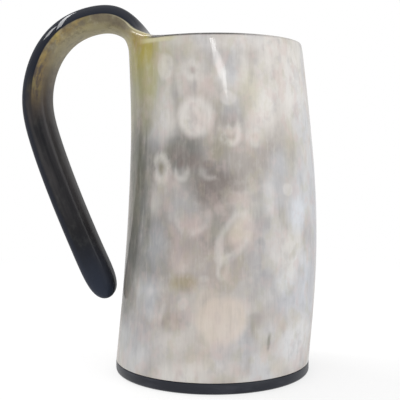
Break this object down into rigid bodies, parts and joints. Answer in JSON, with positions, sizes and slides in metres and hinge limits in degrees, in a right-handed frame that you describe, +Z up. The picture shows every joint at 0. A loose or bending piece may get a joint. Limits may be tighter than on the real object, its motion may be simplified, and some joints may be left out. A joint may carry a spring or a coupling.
{
  "type": "horn tankard",
  "caption": "Tall bowed tankard of polished pale horn, its rim drawn out into a dark heat-bent handle strip, with a dark base disc plugged and sealed into the foot.",
  "frame": {"origin": "centre of the base disc's underside, on the surface that the tankard stands on", "axes": "+Z up through the open rim, -X towards the handle, +Y away from the picture's camera"},
  "size_m": [0.1367, 0.0904, 0.169],
  "materials": {
    "polished_horn": "hand polished",
    "dark_horn": "satin",
    "clear_glue": "glossy, amber"
  },
  "bodies": {
    "root": {"horn_body": "polished_horn", "base_disc": "dark_horn", "glue_bead": "clear_glue"}
  },
  "joints": []
}
